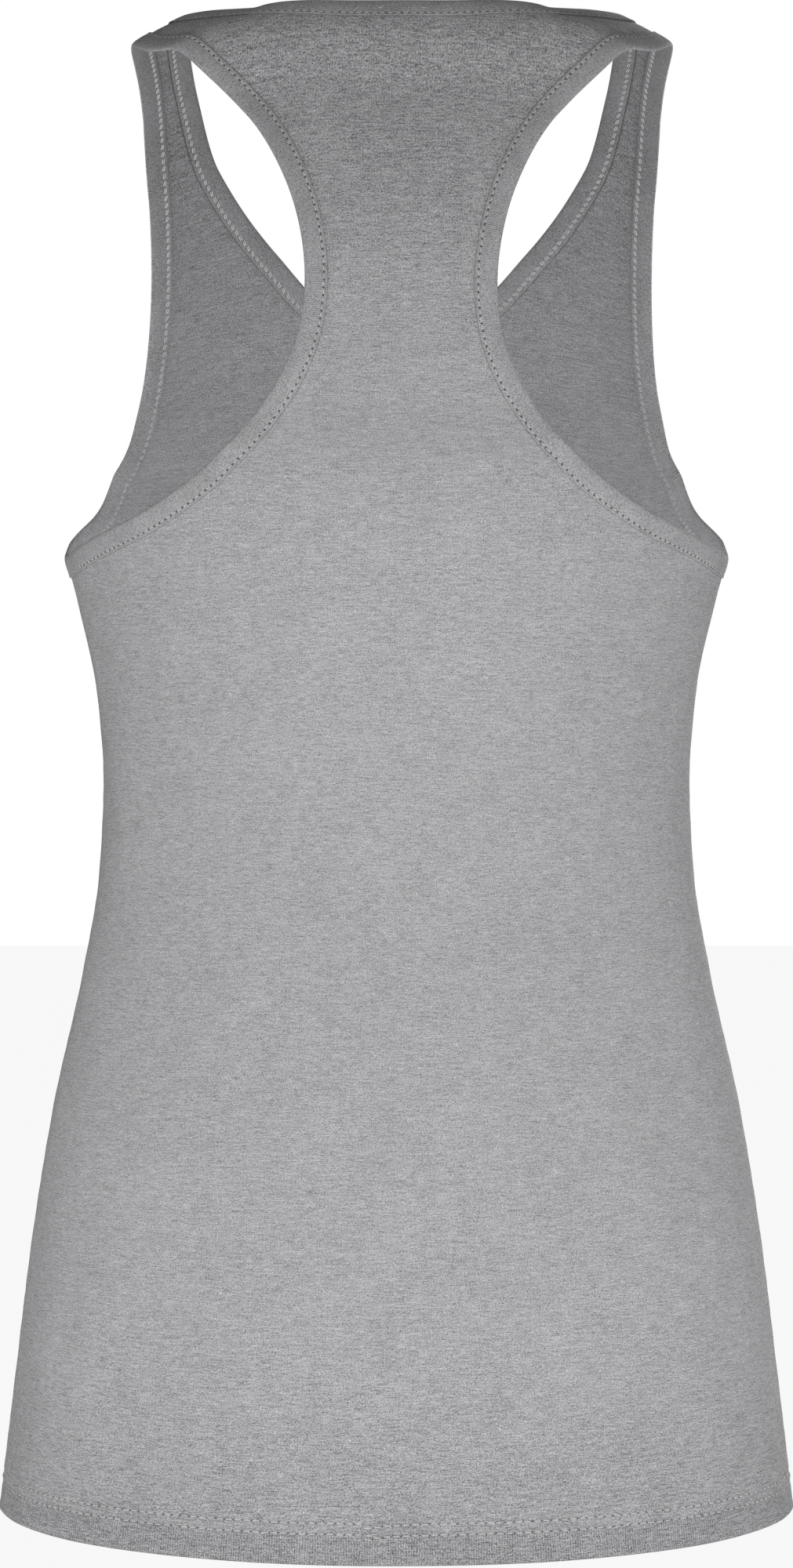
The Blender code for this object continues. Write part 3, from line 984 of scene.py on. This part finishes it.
# a thread with rounded ends along a short path
def threadTube(path, ups, radius, sides=6):
    path, ups = np.asarray(path), np.asarray(ups)
    along = unit(np.gradient(path, axis=0))
    over = unit(np.cross(along, ups))
    ups = unit(np.cross(over, along))
    count = len(path)
    t = np.linspace(-1, 1, count)
    size = radius * np.sqrt(np.maximum(0.12, 1 - np.abs(t) ** 5))
    rings = []
    for i in range(count):
        for s in range(sides):
            a = 2 * math.pi * s / sides
            rings.append(path[i] + over[i] * size[i] * math.cos(a) + ups[i] * size[i] * math.sin(a))
    faces = [
        (i * sides + s, i * sides + (s + 1) % sides, (i + 1) * sides + (s + 1) % sides, (i + 1) * sides + s)
        for i in range(count - 1)
        for s in range(sides)
    ]
    faces.append(tuple(range(sides))[::-1])
    faces.append(tuple((count - 1) * sides + s for s in range(sides)))
    return np.array(rings), faces


# many small threads gathered into one mesh
class Threads:
    def __init__(self):
        self.vertices, self.faces, self.count = [], [], 0

    def add(self, path, ups, radius, sides=6):
        rings, faces = threadTube(path, ups, radius, sides)
        self.vertices.append(rings)
        self.faces += [tuple(i + self.count for i in face) for face in faces]
        self.count += len(rings)

    def piece(self, name, slot, material):
        made = newPiece(name, np.concatenate(self.vertices), self.faces, [material])
        print(name, "faces", len(self.faces))
        return made


# straight dashes outside and chained loops inside
def ringStitches(threads, frames):
    at, count, pitch = alongRing(*frames, seamStitch["pitch"])
    dash, radius, lively = seamStitch["dash"], seamStitch["radius"], seamStitch["lively"]
    for i in range(count):
        middle = (i + 0.5) * pitch + random.uniform(-0.12, 0.12)
        length = dash * random.uniform(0.86, 1.08)
        t = np.linspace(-0.5, 0.5, 6)
        p, n, b = at(middle + t * length)
        sway = random.uniform(-lively, lively)
        bow = 0.16 * (1 - (2 * t) ** 2) - 0.06
        over = seamStitch["across"] + sway + t[:, None] * random.uniform(-0.25, 0.25)
        path = p + b * over + n * (seamStitch["out"] + bow)[:, None]
        threads.add(path, n, radius)
        slant = random.uniform(0.7, 1.5)
        for hand in (-1, 1):                                  # the chain's two legs
            s = np.linspace(-0.40, 0.36, 6)
            p, n, b = at(i * pitch + s * pitch)
            spread = slant * s + hand * (0.30 + 0.10 * np.cos(s * 4))
            depth = seamStitch["insideOut"] - 0.14 * np.cos(s * 2)
            path = p + b * (seamStitch["across"] + spread)[:, None] + n * depth[:, None]
            threads.add(path, -n, radius * 0.95, sides=5)


# two rows of dashes outside and a laced row inside
def hemStitches(threads, side):
    low = body["hemUp"]
    fine = np.linspace(-90, 90, 721)
    flatX = hemArc(side, fine)
    for row in hem["rows"]:
        for i in range(hemCount):
            middle = (i + 0.5 - hemCount / 2) * hemPitch + random.uniform(-0.08, 0.08)
            length = hemPitch * hemStitch["dash"] / hemStitch["pitch"] * random.uniform(0.9, 1.08)
            t = np.linspace(-0.5, 0.5, 6)
            turns = np.interp(middle + t * length, flatX, fine)
            onRow = np.full(len(t), low + row)
            ups = onRow + t * random.uniform(-0.2, 0.2) + random.uniform(-0.1, 0.1)
            step = hemStep(side, np.full(len(t), np.mean(turns)))
            onRow = onRow - step
            ups = ups - step
            bow = hemStitch["bow"] * (1 - (2 * t) ** 2)
            normals = formNormal(side, turns, ups)
            lift = relief(side, turns, onRow) + 0.12 + bow
            path = formPoint(side, turns, ups) + normals * lift[:, None]
            threads.add(path, normals, hemStitch["radius"])
    middleUp = low + sum(hem["rows"]) / 2
    apart = hem["rows"][0] - hem["rows"][1]
    for i in range(hemCount * 2):                              # the looper thread, back and forth
        hand = 1 if i % 2 else -1
        t = np.linspace(-0.5, 0.5, 6)
        turns = np.interp(((i + 0.5) / 2 - hemCount / 2 + t * 0.7) * hemPitch, flatX, fine)
        ups = middleUp + hand * t * 1.25 * apart
        normals = formNormal(side, turns, ups)
        lift = relief(side, turns, ups) - 2 * hem["foldRadius"] - 0.2
        path = formPoint(side, turns, ups) + normals * lift[:, None]
        threads.add(path, -normals, hemStitch["radius"] * 0.8, sides=5)


neckTacks = (               # across, up the binding and slant of four loose threads at the back
    (-20.2, 3.9, 4.6, 33, 0.0),
    (21.0, 4.3, 4.2, -27, 0.0),
    (-9.0, 4.6, 2.8, 66, 0.9),
    (9.3, 4.4, 2.8, -62, 0.9),
)


def tackThreads(threads):
    points, normals, into = neckRing()
    back = points[:, 1] < 0
    for x, across, length, slant, bow in neckTacks:
        near = np.where(back)[0][np.argmin(np.abs(points[back][:, 0] - x - body["lean"]))]
        p, n, b = points[near], normals[near], into[near]
        along = unit(np.cross(n, b)[None])[0]
        if along[0] < 0:
            along = -along
        a = math.radians(slant)
        t = np.linspace(-0.5, 0.5, 8)
        direction = along * math.sin(a) + b * math.cos(a)
        sideways = along * math.cos(a) - b * math.sin(a)
        bowed = sideways * (bow * (2 * t) ** 2)[:, None] * (1 if slant > 0 else -1)
        path = p + b * across + n * 0.90 + direction * (t * length)[:, None] - bowed
        threads.add(path, np.repeat(n[None], len(path), axis=0), 0.17)


# seam allowances inside


# the side seam's two edges, pressed together towards the back, inside
def sideAllowance(name, hand, material):
    ups = np.concatenate([[body["hemUp"] + 2.2], np.arange(body["hemUp"] + 5, -247.0, 3.0)])
    across = (90.0, 89.2, 88.2, 87.4)
    outs = (-1.0, -1.15, -1.15, -1.1)
    vertices, uvs, faces = [], [], []
    for up in ups:
        inHem = up < body["hemUp"] + 19.5
        for k, (turn, out) in enumerate(zip(across, outs)):
            depth = out - (1.75 if inHem else 0.0)
            vertices.append(clothPoint("back", np.array([turn * hand]), np.array([up]), depth)[0])
            uvs.append((k * 2.1 + 1300, up))
    wide = len(across)
    for r in range(len(ups) - 1):
        for k in range(wide - 1):
            a = r * wide + k
            quad = (a, a + 1, a + wide + 1, a + wide)
            faces.append(quad if hand > 0 else quad[::-1])
    piece = newPiece(name, vertices, faces, [material], uvs=uvs)
    thicken = piece.modifiers.new("thickness", "SOLIDIFY")
    thicken.thickness = 1.2 * mm
    thicken.offset = 1
    applyModifiers(piece)
    return piece


# build

print("materials")
jerseyFace = knit("jersey_face", hemBand=True)
# the inside jersey: a darker copy of the face, painted shade of the hollow
jerseyInsidePaintedShade = knit("jersey_inside_painted_shade", yarn["wrongSidePaintedShade"], inside=True)
ribFace = ribKnit("rib_face", 0.97)
# painted shade: the neck's needle holes drawn lighter and its seam groove darker
neckFace = ribKnit("neck_rib_face", 0.97, hole=0.42, groove=0.60)
# the binding's inside layer: drawn darker, painted shade of the hollow
ribInsidePaintedShade = ribKnit("rib_inside_painted_shade", 0.80, inside=True)
seamThread = threadMaterial("seam_thread", 0.58)
hemThread = threadMaterial("hem_thread", 0.60)

print("panels")
backPiece, backArea = buildPanel("back", "back_cloth", [jerseyFace, jerseyInsidePaintedShade])
frontPiece, frontArea = buildPanel("front", "front_cloth", [jerseyFace, jerseyInsidePaintedShade])
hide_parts("back_panel")
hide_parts("front_panel")

print("bindings")
rightFrames, leftFrames, neckFrames = armholeRing(1), armholeRing(-1), neckRing()
rightBinding, rightLength = sweep("right_armhole_rib", *rightFrames, [ribFace, ribInsidePaintedShade], 600)
leftBinding, leftLength = sweep("left_armhole_rib", *leftFrames, [ribFace, ribInsidePaintedShade], 900)
neckBinding, neckLength = sweep("neck_rib", *neckFrames, [neckFace, ribInsidePaintedShade], 1200)
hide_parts("right_armhole_binding")
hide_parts("left_armhole_binding")
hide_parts("neck_binding")
print("ring lengths", round(rightLength, 1), round(leftLength, 1), round(neckLength, 1))

print("stitches")
seams = Threads()
for frames in (rightFrames, leftFrames, neckFrames):
    ringStitches(seams, frames)
tackThreads(seams)
seamPiece = seams.piece("binding_stitches", "rib", seamThread)
hems = Threads()
for side in ("back", "front"):
    hemStitches(hems, side)
hemPiece = hems.piece("hem_stitches", "jersey", hemThread)
rightAllowance = sideAllowance("right_seam_allowance", 1, jerseyInsidePaintedShade)
leftAllowance = sideAllowance("left_seam_allowance", -1, jerseyInsidePaintedShade)

# stage, light and camera

studio = {
    "floor": -1.35,
    "floorGlow": 0.96,      # how much of its own white glow the camera sees in the floor
    "world": 0.11,
    "key": 3.4,
    "side": 3.5,
    "sideUp": -0.58,
    "overhead": 1.5,
    "inner": 0.30,          # a small lamp inside the hollow
    "keyAway": 0.85,
    "keyUp": -0.43,
    "keySize": 0.5,
    "cameraAway": 2.3,
    "cameraUp": -0.3367,
}

print("stage")
wide = 30.0
floorMesh = bpy.data.meshes.new("floor")
floorCorners = [(-wide, -wide, 0), (wide, -wide, 0), (wide, wide, 0), (-wide, wide, 0)]
floorMesh.from_pydata(floorCorners, [], [(0, 1, 2, 3)])
floor = bpy.data.objects.new("floor", floorMesh)
floor.location.z = studio["floor"]
bpy.context.scene.collection.objects.link(floor)
floorMaterial, floorTree, floorShader = newMaterial("floor_paper")
paper = objectPlace(floorTree)
plug(floorTree, floorShader, Base_Color=paper.noise(0.6).mixed(0.84, 0.88), Roughness=0.9)
glow = paper.node("ShaderNodeEmission", None, {"Color": colour(1.0), "Strength": 0.97})
seen = paper.node("ShaderNodeLightPath") * studio["floorGlow"]
lit = paper.node("ShaderNodeMixShader", None, {0: seen, 1: Sum(floorTree, floorShader.outputs[0]), 2: glow})
floorOut = next(node for node in floorTree.nodes if node.type == "OUTPUT_MATERIAL")
floorTree.links.new(lit.socket, floorOut.inputs["Surface"])
floorMesh.materials.append(floorMaterial)

world = bpy.data.worlds.new("studio")
world.use_nodes = True
background = next(node for node in world.node_tree.nodes if node.type == "BACKGROUND")
background.inputs["Color"].default_value = (1.0, 1.0, 1.0, 1.0)
direct = Sum(world.node_tree, world.node_tree.nodes.new("ShaderNodeLightPath").outputs["Is Camera Ray"])
world.node_tree.links.new(direct.between(0, 1, studio["world"], 1.0).socket, background.inputs["Strength"])
bpy.context.scene.world = world


def areaLight(name, place, target, width, height, watts):
    data = bpy.data.lights.new(name, "AREA")
    data.shape = "RECTANGLE"
    data.size, data.size_y, data.energy = width, height, watts
    lamp = bpy.data.objects.new(name, data)
    lamp.location = place
    lamp.rotation_mode = "QUATERNION"
    lamp.rotation_quaternion = (Vector(place) - Vector(target)).to_track_quat("Z", "Y")
    lamp.visible_camera = False
    bpy.context.scene.collection.objects.link(lamp)
    return lamp


key = studio["keySize"]
place = (0, -studio["keyAway"], studio["keyUp"])
areaLight("key_light", place, (0, 0, studio["keyUp"]), key, key, studio["key"])
for hand in (-1, 1):
    place = (hand * 0.80, -0.50, studio["sideUp"])
    areaLight("side_light", place, (0, 0, studio["sideUp"]), key, key, studio["side"])
areaLight("overhead_light", (0, -0.75, 0.75), (0, 0, -0.1), 0.7, 0.5, studio["overhead"])
areaLight("inner_light", (0, -0.05, -0.27), (0, 0.2, -0.23), 0.20, 0.12, studio["inner"])
areaLight("far_side_light", (0.5, 1.7, 0.3), (0, 0, -0.35), 0.9, 0.9, 30)

cameraData = bpy.data.cameras.new("camera")
cameraData.sensor_width = 36
cameraData.lens = 36 * studio["cameraAway"] / 0.7
camera = bpy.data.objects.new("camera", cameraData)
camera.location = (0, -studio["cameraAway"], studio["cameraUp"])
camera.rotation_euler = (math.radians(90), 0, 0)
bpy.context.scene.collection.objects.link(camera)
bpy.context.scene.camera = camera
bpy.context.scene.view_settings.view_transform = "Standard"

print("finish")
